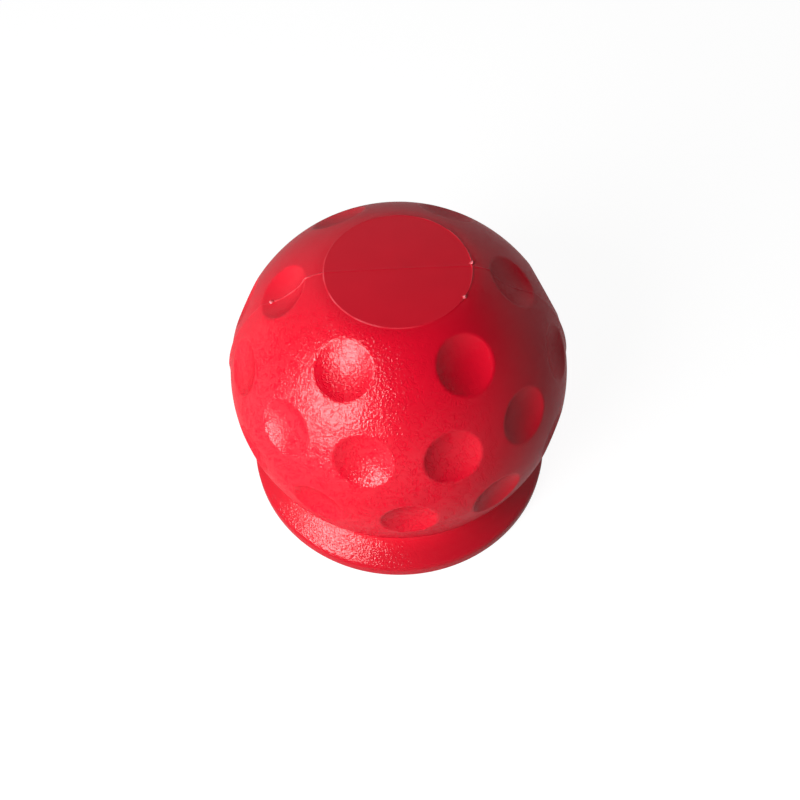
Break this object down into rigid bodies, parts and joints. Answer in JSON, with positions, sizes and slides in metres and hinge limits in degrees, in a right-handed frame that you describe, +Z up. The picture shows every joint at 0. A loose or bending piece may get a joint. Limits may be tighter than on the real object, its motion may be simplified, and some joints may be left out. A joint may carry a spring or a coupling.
{
  "type": "tow ball cover",
  "caption": "Soft dimpled ball with a flat crown, a flared skirt and a hollow socket below, which snaps over a tow ball to keep it clean and to soften knocks.",
  "frame": {"origin": "middle of the foot that the cover stands on, on the cover's axis", "axes": "+Z up along the cover's axis, through the crown; the mould parts in the XZ plane; -Y is the side that the picture shows"},
  "size_m": [0.079, 0.079, 0.0709],
  "materials": {
    "cover": "red soft integral-skin plastic, satin, with a fine leather-like grain"
  },
  "bodies": {
    "root": {"cover": "cover"}
  },
  "joints": []
}
